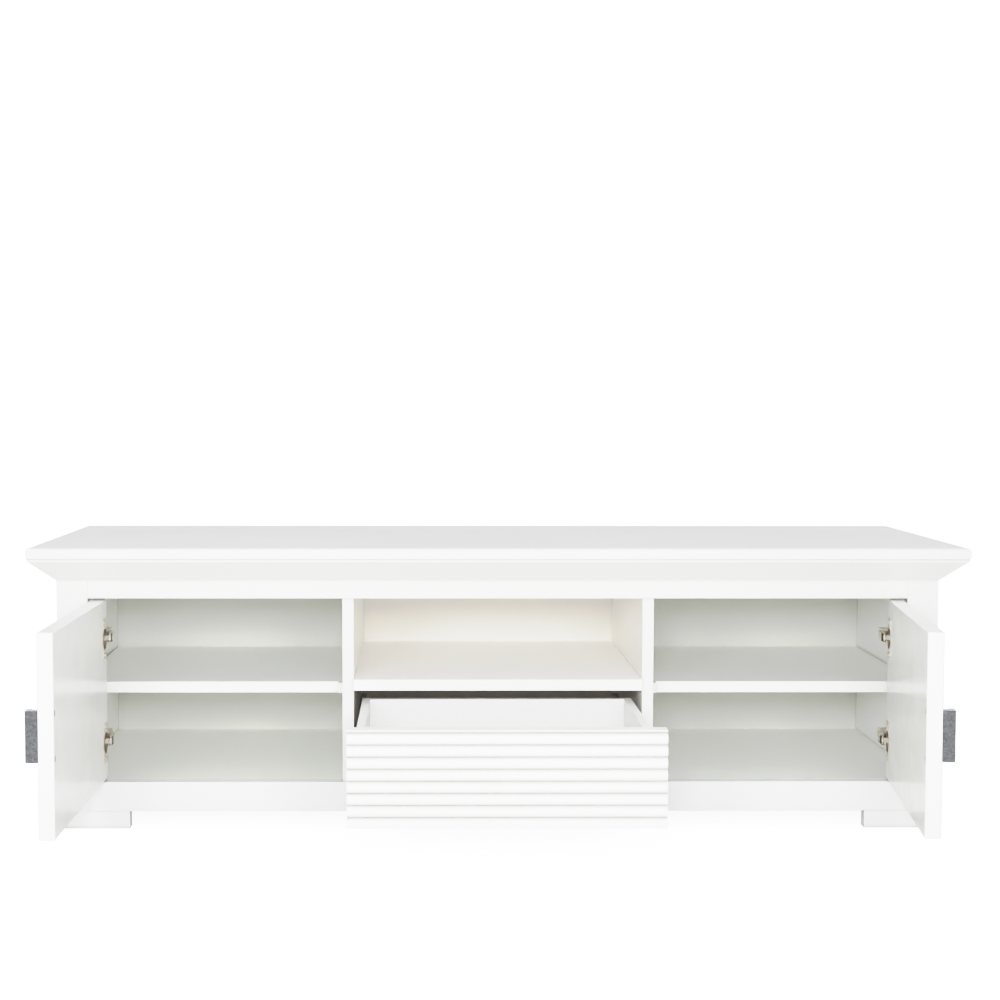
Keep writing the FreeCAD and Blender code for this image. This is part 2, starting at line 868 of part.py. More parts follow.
def hinge_blocks(prefix):
    """Packing blocks behind the stile that carry the mounting plates."""
    outwards = jamb_x - (lining - jamb)
    near = size.frame_thickness - size.pivot_behind
    blocks = []
    for number, level in enumerate(hinge_levels()):
        name = f"{prefix}_{number}"
        blank = box(name + "_blank", (outwards, jamb_x), (near, near + 85), (level - 42, level + 42))
        bores = [
            screw_hole(f"{name}_hole_{end}", (-1, 0, 0), seat, PLATE_SCREW_LENGTH)
            for end, seat in enumerate(plate_screw_seats()[number * 2 : number * 2 + 2])
        ]
        blocks.append(cut(name, blank, bores))
    return blocks


def pull(hand):
    """A square metal block along the door's free edge, undercut for the fingers."""
    name = f"handle_{hand}"
    outer = leaf_outside - size.pull_reach
    inner_edge = leaf_far - size.pull_width
    lip_depth = outer + size.pull_lip
    corners = [
        (leaf_far, leaf_outside),
        (leaf_far, outer),
        (inner_edge, outer),
        (inner_edge, lip_depth),
        (inner_edge + size.pull_undercut, lip_depth),
        (inner_edge + size.pull_undercut, leaf_outside),
    ]
    blank = extruded(name + "_block", "XY_Plane", corners, size.pull_height, midplane=True)
    bores = []
    for number, seat in enumerate(pull_screw_seats()):
        start = (seat[0], leaf_outside + 1, seat[2])
        bores.append(screw_hole(f"{name}_thread_{number}", (0, -1, 0), start, 13))
    handle = finish(cut(name, blank, bores), name)
    seat_at_hinge(handle, hand, DOORS[hand]["opening"].number)


def pull_screws(hand):
    name = f"handle_screws_{hand}"
    length = leaf_inside - size.screw_head_height - leaf_outside + 10
    pieces = [
        screw(f"{name}_{number}", (0, -1, 0), seat, length)
        for number, seat in enumerate(pull_screw_seats())
    ]
    seat_at_hinge(finish(group(name, pieces), name), hand, DOORS[hand]["opening"].number)


# ---------------------------------------------------------------- drawer and runners
def drawer_front():
    """The drawer's face: a board with rounded ribs between narrow grooves."""
    low = rail_top + size.drawer_gap_below
    high = centre_shelf_under - size.drawer_gap_above
    width = (size.bay_half - size.door_gap) * 2
    thickness = size.drawer_panel + size.rib_depth
    body = new_body("drawer_front")
    blank = polygon(
        sketch_on(body, "YZ_Plane", "drawer_front_section"),
        [(Size(0), low), (thickness, low), (thickness, high), (Size(0), high)],
    )
    pad(body, blank, width, midplane=True, name="drawer_front_pad")

    # One groove: two rib flanks that meet at its bottom, closed in front of the face.
    groove = sketch_on(body, "YZ_Plane", "rib_groove")
    half = size.rib_pitch / 2
    depth = size.rib_depth
    rib_radius = (half * half + depth * depth) / (depth * 2)
    bottom = high - size.first_groove
    flank_points = []
    for end in (1, -1):
        crest = (Size(0), bottom + half * end)
        centre = FreeCAD.Vector(rib_radius.number, crest[1].number, 0)
        sweep = math.asin(half.number / rib_radius.number)
        circle = Part.Circle(centre, FreeCAD.Vector(0, 0, 1), rib_radius.number)
        if end > 0:
            arc = Part.ArcOfCircle(circle, math.pi, math.pi + sweep)
        else:
            arc = Part.ArcOfCircle(circle, math.pi - sweep, math.pi)
        flank_points.append((groove.addGeometry(arc, False), crest))
    upper, lower = flank_points
    closing = groove.addGeometry(
        Part.LineSegment(
            FreeCAD.Vector(0, lower[1][1].number, 0), FreeCAD.Vector(0, upper[1][1].number, 0)
        ),
        False,
    )
    # An upper flank starts at its crest and ends at the groove; a lower flank runs the other way.
    groove.addConstraint(Sketcher.Constraint("Coincident", upper[0], 1, closing, 2))
    groove.addConstraint(Sketcher.Constraint("Coincident", lower[0], 2, closing, 1))
    groove.addConstraint(Sketcher.Constraint("Coincident", upper[0], 2, lower[0], 1))
    pin_point(groove, upper[0], 1, *upper[1])
    pin_point(groove, lower[0], 2, *lower[1])
    pin_point(groove, upper[0], 2, depth, bottom)
    for arc, _ in flank_points:
        index = groove.addConstraint(Sketcher.Constraint("Radius", arc, rib_radius.number))
        groove.setExpression(f"Constraints[{index}]", rib_radius.text)
    first = pocket(body, groove, width + 2, midplane=True, name="rib_groove_cut")
    doc.recompute()
    repeat = body.newObject("PartDesign::LinearPattern", "rib_grooves")
    repeat.Originals = [first]
    repeat.Direction = (groove, ["V_Axis"])
    repeat.Reversed = True
    count = int((high.number - low.number - SIZES["first_groove"]) // SIZES["rib_pitch"]) + 1
    bind(repeat, "Length", size.rib_pitch * (count - 1))
    repeat.Occurrences = count
    body.Tip = repeat
    place(body, 0, drawer_face, 0)
    finish(body, "drawer_front")


def drawer_box():
    behind = drawer_face + size.drawer_panel + size.rib_depth
    end = behind + size.drawer_length
    low = size.drawer_side_bottom
    high = low + size.drawer_side_height
    inside = drawer_half - size.drawer_side
    floor_low = size.drawer_floor_level
    floor_high = floor_low + size.drawer_floor
    groove_reach = inside + size.drawer_groove
    play = 0.2
    for name, sign in (("drawer_side_left", -1), ("drawer_side_right", 1)):
        span = (inside, drawer_half) if sign > 0 else (-drawer_half, -inside)
        blank = box(name + "_blank", span, (behind, end), (low, high))
        slot_span = (inside - 1, groove_reach) if sign > 0 else (-groove_reach, 1 - inside)
        slot = box(
            name + "_groove",
            slot_span,
            (behind - 1, end - size.drawer_side + play),
            (floor_low - play, floor_high + play),
        )
        bores = [
            screw_hole(f"{name}_runner_hole_{n}", (-sign, 0, 0), seat, 9)
            for n, seat in enumerate(drawer_runner_screw_seats(sign))
        ]
        finish(cut(name, blank, [slot] + bores), name)
    finish(box("drawer_back", (-inside, inside), (end - size.drawer_side, end), (low, high)), "drawer_back")
    reach = groove_reach - play
    finish(
        box("drawer_bottom", (-reach, reach), (behind, end - size.drawer_side), (floor_low, floor_high)),
        "drawer_bottom",
    )


def runner_channel(name, sign, web, lips, half, shift):
    """A C section that lies along Y: its web at one depth and two lips reaching the other."""
    steel = size.runner_steel
    start = size.bay_half
    far = web + steel if lips.number > web.number else web - steel
    rows = [
        (web, -half),
        (lips, -half),
        (lips, steel - half),
        (far, steel - half),
        (far, half - steel),
        (lips, half - steel),
        (lips, half),
        (web, half),
    ]
    corners = [((start - inwards) * sign, level) for inwards, level in rows]
    body = extruded(name, "XZ_Plane", corners, size.runner_length, reverse=True)
    near = front + size.drawer_panel + size.rib_depth + size.runner_start
    place(body, 0, near - shift, size.runner_level)
    return body


def runner_screw_depths(shift):
    near = front + size.drawer_panel + size.rib_depth + size.runner_start - shift
    return (near + 37, near + size.runner_length - 50)


def cabinet_runner_screw_seats(sign):
    seat = (size.bay_half - size.runner_steel) * sign
    return [(seat, depth, size.runner_level) for depth in runner_screw_depths(Size(0))]


def drawer_runner_screw_seats(sign):
    seat = (drawer_half + size.runner_steel) * sign
    return [(seat, depth, size.runner_level) for depth in runner_screw_depths(size.drawer_out)]


def runners():
    """Full-extension runners: cabinet, middle and drawer members, one inside the other."""
    half = size.runner_height / 2
    depth = size.runner_depth
    steel = size.runner_steel
    for hand, sign in (("left", -1), ("right", 1)):
        name = f"runner_cabinet_{hand}"
        channel = runner_channel(name + "_channel", sign, Size(0), depth - 3.5, half, Size(0))
        bores = [
            screw_hole(f"{name}_hole_{n}", (sign, 0, 0), seat, steel * 2)
            for n, seat in enumerate(cabinet_runner_screw_seats(sign))
        ]
        finish(cut(name, channel, bores), name)
        name = f"runner_middle_{hand}"
        middle_half = half - steel - 0.8
        middle = runner_channel(name, sign, steel + 2.1, depth - 2.5, middle_half, size.drawer_out / 2)
        finish(middle, name)
        name = f"runner_drawer_{hand}"
        inner_half = middle_half - steel - 0.8
        channel = runner_channel(
            name + "_channel", sign, depth, steel * 2 + 3, inner_half, size.drawer_out
        )
        bores = [
            screw_hole(f"{name}_hole_{n}", (-sign, 0, 0), seat, steel * 2)
            for n, seat in enumerate(drawer_runner_screw_seats(sign))
        ]
        finish(cut(name, channel, bores), name)


def runner_screws():
    for name, seats, inwards, length in (
        ("runner_cabinet_screws", cabinet_runner_screw_seats, 1, size.board / 2),
        ("runner_drawer_screws", drawer_runner_screw_seats, -1, Size(9)),
    ):
        pieces = []
        for sign in (-1, 1):
            for seat in seats(sign):
                piece = f"{name}_{len(pieces)}"
                pieces.append(screw(piece, (sign * inwards, 0, 0), seat, length))
        finish(group(name, pieces), name)


# ---------------------------------------------------------------- build
top_panel()
top_screws()
for part_of_crown in ("front", "left", "right"):
    crown(f"crown_{part_of_crown}", part_of_crown)
face_frame()
side_panels()
horizontal_panels()
back_panel()
dividers()
shelves()
shelf_pins()
feet()
door_stops()
for side_name in DOORS:
    door(side_name)
    hinge_cups(side_name)
    cup_screws(side_name)
    hinge_links(side_name)
    hinge_arms(side_name)
    hinge_plates(side_name)
    pull(side_name)
    pull_screws(side_name)
both_hands("arm_screws", arm_screws)
both_hands("plate_screws", plate_screws)
both_hands("hinge_blocks", hinge_blocks)
drawer_front()
drawer_box()
runners()
runner_screws()
doc.recompute()

for item in doc.Objects:
    if "Invalid" in item.State or "Error" in item.State:
        raise RuntimeError(f"{item.Label} failed: {item.State}")
os.makedirs("parts", exist_ok=True)
for node in nodes:
    shape = node.Shape
    if shape.isNull() or not shape.isValid():
        raise RuntimeError(f"{node.Label} has no valid shape")
    shape.exportStep(f"parts/{node.Label}.step")
    print(f"{node.Label}: {len(shape.Solids)} solid(s), {shape.Volume / 1000:.1f} cm3")
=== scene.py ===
"""The looks of the television stand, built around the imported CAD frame."""

import json
import math

import bmesh
import bpy
from mathutils import Matrix, Vector


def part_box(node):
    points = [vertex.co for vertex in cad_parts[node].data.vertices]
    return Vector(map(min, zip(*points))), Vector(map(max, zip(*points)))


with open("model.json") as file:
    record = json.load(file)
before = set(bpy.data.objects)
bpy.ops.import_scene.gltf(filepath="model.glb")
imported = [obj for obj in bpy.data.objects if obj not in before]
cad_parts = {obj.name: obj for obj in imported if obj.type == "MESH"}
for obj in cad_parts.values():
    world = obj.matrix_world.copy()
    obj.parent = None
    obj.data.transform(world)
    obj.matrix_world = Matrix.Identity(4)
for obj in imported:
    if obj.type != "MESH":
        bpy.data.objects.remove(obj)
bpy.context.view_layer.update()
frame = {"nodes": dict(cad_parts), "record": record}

NODES = frame["nodes"]
RECORD = frame["record"]
SLOT_OF = {s["node"]: s["material_slot"] for s in RECORD["subparts"]}
MM = 0.001

# The centre bay's faces, each a short run in metres over which a colour changes: where the
# niche's painted light and the drawer bay's painted shade tint begin and end.
BAY_SIDE = 0.2331, 0.2334
BAY_SIDE_SOFT = 0.228, 0.236
BAY_MOUTH = -0.2055, -0.205
BAY_REAR = 0.2393, 0.2396
DRAWER_BAY_FLOOR = 0.0765, 0.0775
DRAWER_BAY_ROOF = 0.2248, 0.2252
NICHE_FLOOR = 0.240, 0.243
NICHE_ROOF = 0.4215, 0.4225

# The drawer front's ribs, in metres: their spacing, and the first groove below the top edge.
RIB_PITCH = 0.0175
FIRST_GROOVE = 0.005

SPANGLE_SCALE = 430


# ---------------------------------------------------------------- node graphs
class Graph:
    """A material's node tree, with one Principled shader."""

    def __init__(self, name, metallic=0.0):
        self.material = bpy.data.materials.new(name)
        self.material.use_nodes = True
        self.tree = self.material.node_tree
        self.tree.nodes.clear()
        output = self.node("ShaderNodeOutputMaterial")
        self.shader = self.node("ShaderNodeBsdfPrincipled")
        self.tree.links.new(self.shader.outputs[0], output.inputs["Surface"])
        self.shader.inputs["Metallic"].default_value = metallic
        self.place = self.node("ShaderNodeTexCoord").outputs["Object"]

    def node(self, kind, **settings):
        made = self.tree.nodes.new(kind)
        for key, value in settings.items():
            setattr(made, key, value)
        return made

    def put(self, socket, value):
        """Links or sets one input."""
        if isinstance(value, bpy.types.NodeSocket):
            self.tree.links.new(value, socket)
        elif isinstance(value, (tuple, list)) and len(value) == 3 and socket.type == "RGBA":
            socket.default_value = (*value, 1)
        else:
            socket.default_value = value

    def stretched(self, x=1.0, y=1.0, z=1.0):
        made = self.node("ShaderNodeMapping")
        self.put(made.inputs["Vector"], self.place)
        made.inputs["Scale"].default_value = (x, y, z)
        return made.outputs[0]

    def noise(self, scale, detail=2.0, roughness=0.5, place=None):
        made = self.node("ShaderNodeTexNoise")
        self.put(made.inputs["Vector"], place or self.place)
        made.inputs["Scale"].default_value = scale
        made.inputs["Detail"].default_value = detail
        made.inputs["Roughness"].default_value = roughness
        return made.outputs["Fac"]

    def cells(self, scale, feature="F1", place=None):
        made = self.node("ShaderNodeTexVoronoi", feature=feature)
        self.put(made.inputs["Vector"], place or self.place)
        made.inputs["Scale"].default_value = scale
        return made.outputs["Distance"]

    def math(self, operation, *values):
        made = self.node("ShaderNodeMath", operation=operation)
        for socket, value in zip(made.inputs, values):
            self.put(socket, value)
        return made.outputs[0]

    def span(self, value, low, high, to_low=0.0, to_high=1.0, smooth=False):
        kind = "SMOOTHSTEP" if smooth else "LINEAR"
        made = self.node("ShaderNodeMapRange", interpolation_type=kind)
        for key, number in (
            ("Value", value),
            ("From Min", low),
            ("From Max", high),
            ("To Min", to_low),
            ("To Max", to_high),
        ):
            self.put(made.inputs[key], number)
        return made.outputs[0]

    def mix(self, factor, first, second):
        made = self.node("ShaderNodeMix", data_type="RGBA")
        colours = [s for s in made.inputs if s.type == "RGBA"]
        self.put(made.inputs["Factor"], factor)
        self.put(colours[0], first)
        self.put(colours[1], second)
        return [s for s in made.outputs if s.type == "RGBA"][0]

    def axis(self, letter):
        made = self.node("ShaderNodeSeparateXYZ")
        self.put(made.inputs[0], self.place)
        return made.outputs[letter]

    def facing(self, letter):
        """The surface normal's part along one axis."""
        made = self.node("ShaderNodeSeparateXYZ")
        self.put(made.inputs[0], self.node("ShaderNodeNewGeometry").outputs["Normal"])
        return made.outputs[letter]

    def beyond(self, letter, run):
        """1 past a place on one axis, else 0."""
        return self.span(self.axis(letter), *run)

    def before(self, letter, run):
        return self.span(self.axis(letter), *run, 1, 0)

    def between_dividers(self, run):
        return self.span(self.math("ABSOLUTE", self.axis("X")), *run, 1, 0)

    def all_of(self, first, *others):
        for other in others:
            first = self.math("MULTIPLY", first, other)
        return first

    def painted_crease_shade(self, colour, dark, reach=0.007, amount=0.7):
        """Painted shade: darkens a colour where another surface stands within `reach`, in the
        creases and joints between parts.
        """
        made = self.node("ShaderNodeAmbientOcclusion", samples=4)
        made.inputs["Distance"].default_value = reach
        return self.mix(self.span(made.outputs["AO"], 0.45, 0.95, amount, 0), colour, dark)

    def bumps(self, *layers):
        """Stacked bump layers, each (height, strength, distance in metres)."""
        normal = None
        for height, strength, distance in layers:
            made = self.node("ShaderNodeBump")
            self.put(made.inputs["Height"], height)
            made.inputs["Strength"].default_value = strength
            made.inputs["Distance"].default_value = distance
            if normal is not None:
                self.put(made.inputs["Normal"], normal)
            normal = made.outputs[0]
        self.put(self.shader.inputs["Normal"], normal)

    def finish(self, colour, roughness):
        self.put(self.shader.inputs["Base Color"], colour)
        self.put(self.shader.inputs["Roughness"], roughness)
        return self.material


def drawer_bay_shade_tint(g):
    """1 inside the bay behind the drawer, else 0: where a warm painted shade tint goes."""
    return g.all_of(
        g.between_dividers(BAY_SIDE),
        g.beyond("Y", BAY_MOUTH),
        g.before("Y", BAY_REAR),
        g.beyond("Z", DRAWER_BAY_FLOOR),
        g.before("Z", DRAWER_BAY_ROOF),
    )


def shade(colour, amount):
    return tuple(c * amount for c in colour)


def painted_board(name, colour, roughness, peel=0.25, wave=0.25, mottle=0.02):
    """Sprayed lacquer on board: orange peel, faint cloudiness, uneven gloss and painted shade
    in creases.
    """
    g = Graph(name)
    cloud = g.noise(2.6, 3, 0.55)
    dull, bright = shade(colour, 1 - mottle), shade(colour, 1 + mottle * 0.5)
    tone = g.mix(g.span(cloud, 0.35, 0.65), dull, bright)
    # Painted shade: the colour darkens in creases, where another part stands close.
    tone = g.painted_crease_shade(tone, (0.45, 0.44, 0.41))
    handled = g.noise(14, 5, 0.62)
    gloss = g.span(handled, 0.3, 0.7, roughness * 0.84, roughness * 1.1)
    peel_height = g.noise(420, 2, 0.45)
    wave_height = g.noise(24, 0, 0.4)
    g.bumps((wave_height, wave, 0.00025), (peel_height, peel, 0.00008))
    return g, tone, gloss


def lacquer():
    """The carcass; faces that lean down get painted shade, the niche's walls painted light in a
    warmer white, and the bay behind the drawer a warm painted shade tint.
    """
    g, tone, gloss = painted_board("lacquer", (0.88, 0.88, 0.875), 0.36)
    # Painted shade: faces that lean down are made greyer and warmer, as under the crown.
    tone = g.mix(g.span(g.facing("Z"), -0.6, -0.4, 1, 0), tone, (0.83, 0.825, 0.795))
    # Painted light: the niche's walls are made a brighter, warmer white than the side bays'.
    niche_light = g.all_of(
        g.between_dividers(BAY_SIDE),
        g.beyond("Z", NICHE_FLOOR),
        g.before("Z", NICHE_ROOF),
        g.beyond("Y", BAY_MOUTH),
    )
    tone = g.mix(niche_light, tone, (0.95, 0.937, 0.91))
    # Painted shade tint: inside the bay behind the drawer the colour turns warm, as its shade
    # looks.
    return g.finish(g.mix(drawer_bay_shade_tint(g), tone, (0.93, 0.905, 0.86)), gloss)


def door_lacquer():
    g, tone, gloss = painted_board(
        "door_lacquer", (0.855, 0.855, 0.845), 0.24, peel=0.15, wave=0.12, mottle=0.012
    )
    return g.finish(tone, gloss)


def ribbed_lacquer():
    """The drawer front: painted shade darkens the grooves between the ribs, where the paint is
    also duller.
    """
    g, tone, gloss = painted_board("ribbed_lacquer", (0.89, 0.89, 0.885), 0.34)
    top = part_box("drawer_front")[1].z
    below = g.math("SUBTRACT", top - FIRST_GROOVE + RIB_PITCH / 2, g.axis("Z"))
    phase = g.math("FRACT", g.math("DIVIDE", below, RIB_PITCH))
    away = g.math("ABSOLUTE", g.math("SUBTRACT", phase, 0.5))
    groove_shade_and_dull = g.span(away, 0.0, 0.07, 1.0, 0.0, smooth=True)
    # Painted shade: the colour darkens in each groove.
    tone = g.mix(g.math("MULTIPLY", groove_shade_and_dull, 0.35), tone, (0.56, 0.545, 0.51))
    gloss = g.math("ADD", gloss, g.math("MULTIPLY", groove_shade_and_dull, 0.2))
    return g.finish(tone, gloss)


def interior_board():
    """Melamine-faced board with a fine pebbled emboss."""
    g = Graph("interior_board")
    cloud = g.noise(3.1, 3, 0.5)
    tone = g.mix(g.span(cloud, 0.35, 0.65), (0.93, 0.938, 0.91), (0.945, 0.95, 0.932))
    # Painted light: the centre bay's board is made brighter and warmer than the side bays'.
    tone = g.mix(g.between_dividers(BAY_SIDE_SOFT), tone, (0.985, 0.982, 0.975))
    # Painted shade tint: inside the bay behind the drawer the colour turns warm, as its shade
    # looks.
    tone = g.mix(drawer_bay_shade_tint(g), tone, (0.95, 0.925, 0.88))
    pebble = g.cells(900, "SMOOTH_F1")
    grain = g.noise(600, 3, 0.6)
    gloss = g.span(g.noise(22, 4, 0.6), 0.3, 0.7, 0.38, 0.5)
    g.bumps((g.noise(30, 1), 0.2, 0.0002), (pebble, 0.25, 0.00006), (grain, 0.2, 0.00005))
    return g.finish(tone, gloss)


def back_board():
    """White-faced hardboard: paper fibre and a slight wave between its screws."""
    g = Graph("back_board")
    cloud = g.noise(2.2, 4, 0.55)
    tone = g.mix(g.span(cloud, 0.3, 0.7), (0.765, 0.77, 0.742), (0.79, 0.792, 0.766))
    # Painted light: the back board is made brighter and warmer behind the centre bay.
    niche_light = g.all_of(g.between_dividers(BAY_SIDE_SOFT), g.before("Y", BAY_REAR))
    tone = g.mix(niche_light, tone, (0.905, 0.88, 0.832))
    # Painted shade tint: inside the bay behind the drawer the colour turns warm, as its shade
    # looks.
    tone = g.mix(drawer_bay_shade_tint(g), tone, (0.88, 0.855, 0.8))
    fibre = g.noise(260, 5, 0.7, g.stretched(1, 1, 3.2))
    gloss = g.span(g.noise(30, 4, 0.6), 0.3, 0.7, 0.48, 0.62)
    g.bumps((g.noise(5, 1), 0.3, 0.002), (fibre, 0.3, 0.00006))
    return g.finish(tone, gloss)


def drawer_lining():
    """Foil-faced board with a fine pressed grain along its length."""
    g = Graph("drawer_lining")
    grain = g.noise(120, 6, 0.65, g.stretched(1.0, 0.12, 3.0))
    tone = g.mix(g.span(grain, 0.35, 0.7), (0.87, 0.875, 0.87), (0.83, 0.835, 0.83))
    gloss = g.span(grain, 0.3, 0.7, 0.34, 0.48)
    g.bumps((grain, 0.22, 0.0001))
    return g.finish(tone, gloss)


def white_plastic():
    g = Graph("white_plastic")
    tone = g.mix(g.span(g.noise(60, 3), 0.3, 0.7), (0.83, 0.83, 0.81), (0.86, 0.86, 0.845))
    gloss = g.span(g.noise(140, 4), 0.3, 0.7, 0.3, 0.45)
    g.bumps((g.cells(1500), 0.2, 0.00005))
    return g.finish(tone, gloss)


def plated(name, colour, dark, roughness, brush, stain):
    """Plated steel with drawn or rolled lines, stains and handling scratches."""
    g = Graph(name, metallic=1.0)
    lines = g.noise(700, 3, 0.6, g.stretched(*brush))
    patches = g.noise(95, 5, 0.62)
    tone = g.mix(g.span(patches, 0.42, 0.75, 0, stain), colour, dark)
    tone = g.mix(g.span(lines, 0.35, 0.75, 0, 0.25), tone, dark)
    drawn = g.span(lines, 0.3, 0.7, roughness * 0.7, roughness * 1.25)
    gloss = g.math("ADD", drawn, g.span(patches, 0.45, 0.7, 0, 0.12))
    g.bumps((patches, 0.12, 0.0001), (lines, 0.18, 0.00004))
    return g.finish(tone, gloss)


def galvanised_zinc():
    """Hot-dip zinc: angular spangles of differing grey under a dull bloom, and a painted
    highlight on faces that look up.
    """
    g = Graph("galvanised_zinc", metallic=0.85)
    warped = g.node("ShaderNodeVectorMath", operation="ADD")
    wobble = g.node("ShaderNodeTexNoise")
    g.put(wobble.inputs["Vector"], g.place)
    wobble.inputs["Scale"].default_value = 120
    scaled = g.node("ShaderNodeVectorMath", operation="SCALE")
    g.put(scaled.inputs[0], wobble.outputs["Color"])
    scaled.inputs["Scale"].default_value = 0.004
    g.put(warped.inputs[0], g.place)
    g.put(warped.inputs[1], scaled.outputs[0])
    spangle = g.node("ShaderNodeTexVoronoi")
    g.put(spangle.inputs["Vector"], warped.outputs[0])
    spangle.inputs["Scale"].default_value = SPANGLE_SCALE
    shades = g.node("ShaderNodeSeparateColor")
    g.put(shades.inputs[0], spangle.outputs["Color"])
    edge = g.cells(SPANGLE_SCALE, "DISTANCE_TO_EDGE", place=warped.outputs[0])
    bloom = g.noise(130, 6, 0.68, g.stretched(1, 1, 0.6))
    tone = g.mix(g.span(shades.outputs[0], 0, 1), (0.145, 0.15, 0.16), (0.27, 0.276, 0.289))
    tone = g.mix(g.span(bloom, 0.4, 0.72, 0, 0.7), tone, (0.212, 0.216, 0.225))
    tone = g.mix(g.span(edge, 0.0, 0.12, 0.2, 0), tone, (0.125, 0.128, 0.137))
    # Painted highlight: faces that look up are made light grey, as if catching the bright sky.
    tone = g.mix(g.span(g.facing("Z"), 0.2, 0.8), tone, (0.72, 0.73, 0.75))
    facets = g.span(shades.outputs[1], 0, 1, 0.34, 0.52)
    gloss = g.math("ADD", facets, g.span(bloom, 0.4, 0.7, 0, 0.14))
    g.bumps((edge, 0.25, 0.0002), (bloom, 0.35, 0.0003), (g.noise(900, 3), 0.25, 0.00006))
    return g.finish(tone, gloss)


MATERIALS = {
    "lacquer": lacquer(),
    "door_lacquer": door_lacquer(),
    "ribbed_lacquer": ribbed_lacquer(),
    "interior_board": interior_board(),
    "back_board": back_board(),
    "drawer_lining": drawer_lining(),
    "white_plastic": white_plastic(),
    "nickel": plated(
        "nickel", (0.87, 0.81, 0.73), (0.46, 0.41, 0.36), 0.26, (1, 1, 10), 0.3
    ),
    "galvanised_zinc": galvanised_zinc(),
    "screw_steel": plated(
        "screw_steel", (0.66, 0.65, 0.64), (0.3, 0.29, 0.28), 0.3, (1, 1, 1), 0.4
    ),
    "runner_steel": plated(
        "runner_steel", (0.58, 0.59, 0.6), (0.34, 0.35, 0.36), 0.3, (1, 0.05, 1), 0.35
    ),
}

for name, node in NODES.items():
    node.data.materials.clear()
    node.data.materials.append(MATERIALS[SLOT_OF[name]])

# ------------------------------------------------------------- softened edges
EDGE_WIDTH = {
    "lacquer": 0.9,
    "door_lacquer": 0.9,
    "ribbed_lacquer": 0.5,
    "interior_board": 0.5,
    "drawer_lining": 0.7,
    "white_plastic": 0.8,
    "nickel": 0.3,
    "galvanised_zinc": 0.7,
    "screw_steel": 0.2,
    "runner_steel": 0.25,
}
for name, node in NODES.items():
    if SLOT_OF[name] == "back_board":
        continue
    weld = node.modifiers.new("weld", "WELD")
    weld.merge_threshold = 0.00001
    bevel = node.modifiers.new("bevel", "BEVEL")
    bevel.width = EDGE_WIDTH[SLOT_OF[name]] * MM
    bevel.segments = 2
    bevel.limit_method = "ANGLE"
    bevel.angle_limit = math.radians(38)
    bevel.use_clamp_overlap = True
    bevel.harden_normals = False
    normals = node.modifiers.new("normals", "WEIGHTED_NORMAL")
    normals.keep_sharp = False
    for polygon in node.data.polygons:
        polygon.use_smooth = True

# ---------------------------------------------------------------------- stage
stage = bpy.data.meshes.new("floor")
shape = bmesh.new()
bmesh.ops.create_circle(shape, cap_ends=True, radius=60, segments=64)
shape.to_mesh(stage)
shape.free()
floor = bpy.data.objects.new("floor", stage)
bpy.context.scene.collection.objects.link(floor)
g = Graph("floor")
tone = g.mix(g.span(g.noise(1.5, 3), 0.3, 0.7), (0.86, 0.86, 0.86), (0.88, 0.88, 0.88))
g.put(g.shader.inputs["Emission Color"], (1, 1, 1))
seen = g.node("ShaderNodeLightPath").outputs["Is Camera Ray"]
beyond = g.node("ShaderNodeVectorMath", operation="LENGTH")
g.put(beyond.inputs[0], g.place)
glow = g.span(beyond.outputs["Value"], 0.9, 3.5, 1.25, 1.6, smooth=True)
g.put(g.shader.inputs["Emission Strength"], g.math("MULTIPLY", seen, glow))
g.bumps((g.noise(60, 2), 0.05, 0.0002))
stage.materials.append(g.finish(tone, g.span(g.noise(8, 2), 0.3, 0.7, 0.75, 0.85)))

# ------------------------------------------------------------------ soft light
world = bpy.data.worlds.new("studio")
bpy.context.scene.world = world
world.use_nodes = True
tree = world.node_tree
background = tree.nodes["Background"]


def world_node(kind, **settings):
    made = tree.nodes.new(kind)
    for key, value in settings.items():
        setattr(made, key, value)
    return made


def lobe(toward, wide, tight, colour, weight):
    """A soft round patch of light in the sky: its colour where the direction nears `toward`."""
    aim = world_node("ShaderNodeVectorMath", operation="DOT_PRODUCT")
    tree.links.new(sky.outputs["Generated"], aim.inputs[0])
    aim.inputs[1].default_value = Vector(toward).normalized()
    ramp = world_node("ShaderNodeMapRange", interpolation_type="SMOOTHSTEP")
    tree.links.new(aim.outputs["Value"], ramp.inputs["Value"])
    ramp.inputs["From Min"].default_value = math.cos(math.radians(wide))
    ramp.inputs["From Max"].default_value = math.cos(math.radians(tight))
    ramp.inputs["To Max"].default_value = weight
    tinted = world_node("ShaderNodeMix", data_type="RGBA")
    tree.links.new(ramp.outputs[0], tinted.inputs[0])
    tinted.inputs[6].default_value = (0, 0, 0, 1)
    tinted.inputs[7].default_value = (*colour, 1)
    tinted.clamp_factor = False
    return tinted.outputs[2]


sky = world_node("ShaderNodeTexCoord")
light = None
for patch in (
    ((0, 0, 1), 180, 179, (1, 1, 1), 0.36),
    ((0, 1, 0.3), 80, 30, (1, 1, 1), 0.30),
    ((0, 0.1, 1), 70, 20, (0.975, 0.978, 1), 0.66),
):
    added = lobe(*patch)
    if light is None:
        light = added
        continue
    total = world_node("ShaderNodeMix", data_type="RGBA", blend_type="ADD")
    total.inputs[0].default_value = 1
    tree.links.new(light, total.inputs[6])
    tree.links.new(added, total.inputs[7])
    light = total.outputs[2]
seen = world_node("ShaderNodeLightPath")
shown = world_node("ShaderNodeMix", data_type="RGBA")
tree.links.new(seen.outputs["Is Camera Ray"], shown.inputs[0])
tree.links.new(light, shown.inputs[6])
shown.inputs[7].default_value = (2.4, 2.4, 2.4, 1)
tree.links.new(shown.outputs[2], background.inputs["Color"])
background.inputs["Strength"].default_value = 1.0


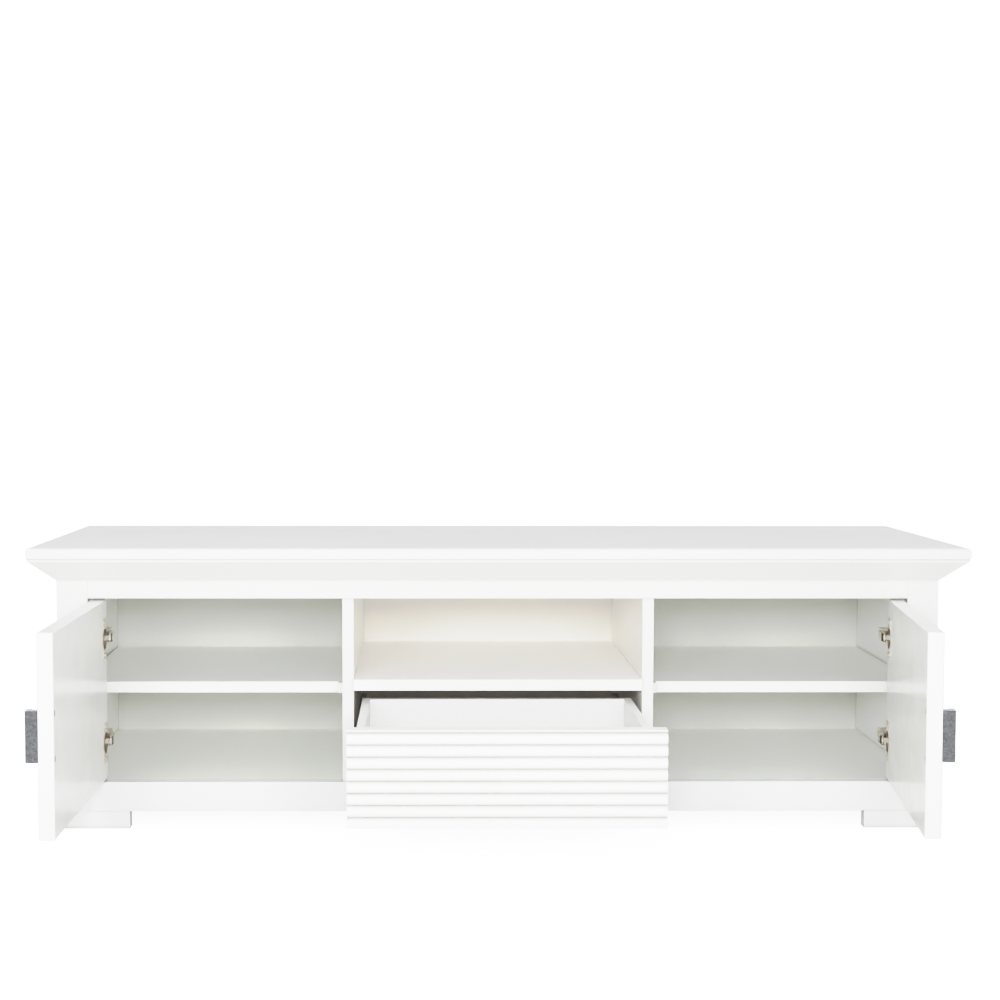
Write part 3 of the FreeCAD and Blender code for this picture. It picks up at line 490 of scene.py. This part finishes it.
def soft_box(name, place, target, size, radiance, mirrored=False):
    lamp = bpy.data.lights.new(name, "AREA")
    lamp.shape = "RECTANGLE"
    lamp.size, lamp.size_y = size
    lamp.energy = radiance * math.pi * size[0] * size[1]
    made = bpy.data.objects.new(name, lamp)
    bpy.context.scene.collection.objects.link(made)
    made.location = place
    made.rotation_euler = (Vector(target) - Vector(place)).to_track_quat("-Z", "Y").to_euler()
    made.visible_camera = False
    made.visible_glossy = mirrored
    return made


soft_box("front_wall", (0, -3.2, 0.85), (0, 0, 0.85), (3.4, 1.6), 1.1, mirrored=True)
soft_box("front_lamp", (-0.2, -2.6, 0.88), (-0.1, 0, 0.25), (0.37, 0.31), 50)
soft_box("left_lamp", (-0.9, -2.5, 0.88), (-0.1, 0, 0.25), (0.5, 0.4), 17)
soft_box("right_lamp", (0.45, -2.5, 0.88), (-0.1, 0, 0.25), (0.5, 0.4), 17)
bpy.context.scene.cycles.diffuse_bounces = 12
bpy.context.scene.cycles.max_bounces = 16

# --------------------------------------------------------------------- camera
YAW, PITCH, ROLL = 0.00839, 0.05787, 0.00093
FOCAL = 1.72525
camera = bpy.data.cameras.new("camera")
camera.sensor_width = 36
camera.lens = 36 * FOCAL
camera.shift_x = 0.06
camera.clip_start = 0.05
camera.clip_end = 200
viewer = bpy.data.objects.new("camera", camera)
bpy.context.scene.collection.objects.link(viewer)
level = math.cos(PITCH)
forward = Vector((math.sin(YAW) * level, math.cos(YAW) * level, -math.sin(PITCH)))
right = Vector((math.cos(YAW), -math.sin(YAW), 0))
up = right.cross(forward)
turn = Matrix((right, up, -forward)).transposed()
turn = turn @ Matrix.Rotation(ROLL, 3, "Z")
viewer.matrix_world = Matrix.Translation((-0.11716, -2.97117, 0.69277)) @ turn.to_4x4()
bpy.context.scene.camera = viewer

# Film response: straight up to mid grey, then a soft shoulder that keeps the whites apart.
display = bpy.context.scene.view_settings
display.view_transform = "Standard"
display.use_curve_mapping = True
response = display.curve_mapping
response.initialize()
RANGE = 2.4
response.white_level = (RANGE,) * 3
curve = response.curves[3]
POINTS = (
    (0.0, 0.0), (0.1, 0.1), (0.3, 0.31), (0.45, 0.5), (0.6, 0.62), (0.75, 0.755),
    (0.9, 0.835), (1.05, 0.875), (1.2, 0.91), (1.45, 0.952), (1.8, 0.99), (2.4, 1.0),
)
curve.points[0].location = POINTS[0][0] / RANGE, POINTS[0][1]
curve.points[1].location = POINTS[-1][0] / RANGE, POINTS[-1][1]
for x, y in POINTS[1:-1]:
    curve.points.new(x / RANGE, y)
response.update()
